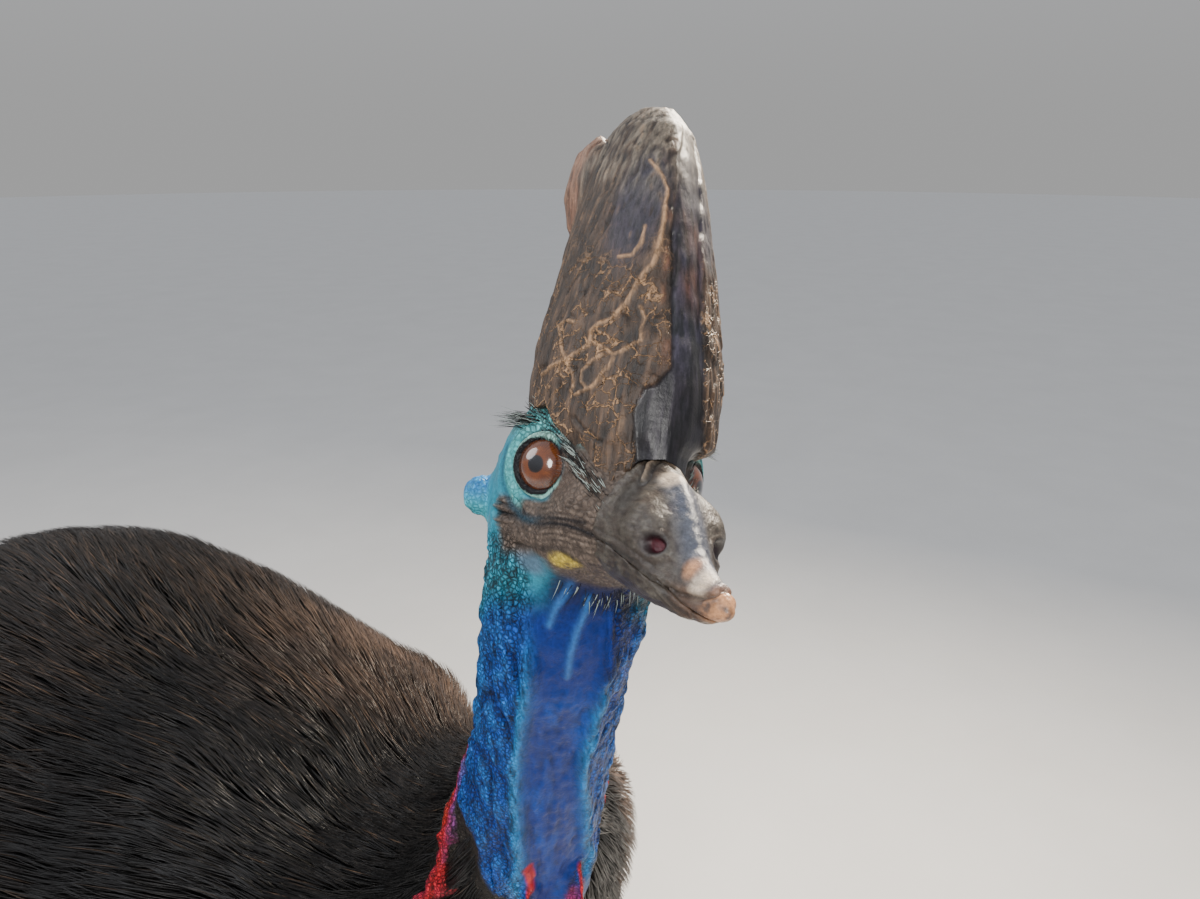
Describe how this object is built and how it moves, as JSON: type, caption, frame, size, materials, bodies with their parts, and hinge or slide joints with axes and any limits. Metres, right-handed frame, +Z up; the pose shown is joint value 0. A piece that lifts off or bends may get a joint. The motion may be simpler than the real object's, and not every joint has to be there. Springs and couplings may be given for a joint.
{
  "type": "southern cassowary",
  "caption": "Life-size still model of a standing adult cassowary with a tall horn casque, bare blue neck, red wattles and loose black plumage, its head turned to its right.",
  "frame": {"origin": "under the middle of the bird's bounding box, on the level that its feet stand on", "axes": "+Z up; the trunk faces -Y, so +X is the bird's left; the head is turned from -Y towards -X"},
  "size_m": [0.5668, 1.2242, 1.4482],
  "materials": {
    "plumage": "loose, hair-like glossy black feathers, sun-browned along the back",
    "face_skin": "bare pale turquoise to grey-brown skin, finely pimpled, with short black bristles",
    "neck_skin": "bare vivid blue skin, warty and folded, darker on the throat",
    "red_skin": "bare red skin, folded and warty",
    "casque_horn": "brown horn, flaking and veined on its sides, smooth and dark along its front",
    "bill_horn": "dark grey-brown horn, smooth with a soft gloss",
    "eye": "wet clear cornea over an orange-brown iris and a black pupil",
    "leg_scale": "grey-green horny scales, shields down the front and small plates elsewhere",
    "claw_horn": "near-black horn with a soft gloss, worn paler at the tips"
  },
  "bodies": {
    "root": {"head": "face_skin", "casque": "casque_horn", "bill_upper": "bill_horn", "bill_lower": "bill_horn", "eye_left": "eye", "eye_right": "eye", "neck_1": "neck_skin", "neck_2": "neck_skin", "neck_3": "neck_skin", "neck_4": "plumage", "breast": "plumage", "back": "plumage", "rump": "plumage", "tail": "plumage", "ear_left": "face_skin", "wattle_left": "red_skin", "wing_left": "plumage", "thigh_left": "plumage", "tarsus_left": "leg_scale", "foot_left": "leg_scale", "toe_middle_left": "leg_scale", "claw_middle_left": "claw_horn", "toe_inner_left": "leg_scale", "claw_inner_left": "claw_horn", "toe_outer_left": "leg_scale", "claw_outer_left": "claw_horn", "ear_right": "face_skin", "wattle_right": "red_skin", "wing_right": "plumage", "thigh_right": "plumage", "tarsus_right": "leg_scale", "foot_right": "leg_scale", "toe_middle_right": "leg_scale", "claw_middle_right": "claw_horn", "toe_inner_right": "leg_scale", "claw_inner_right": "claw_horn", "toe_outer_right": "leg_scale", "claw_outer_right": "claw_horn"}
  },
  "joints": []
}
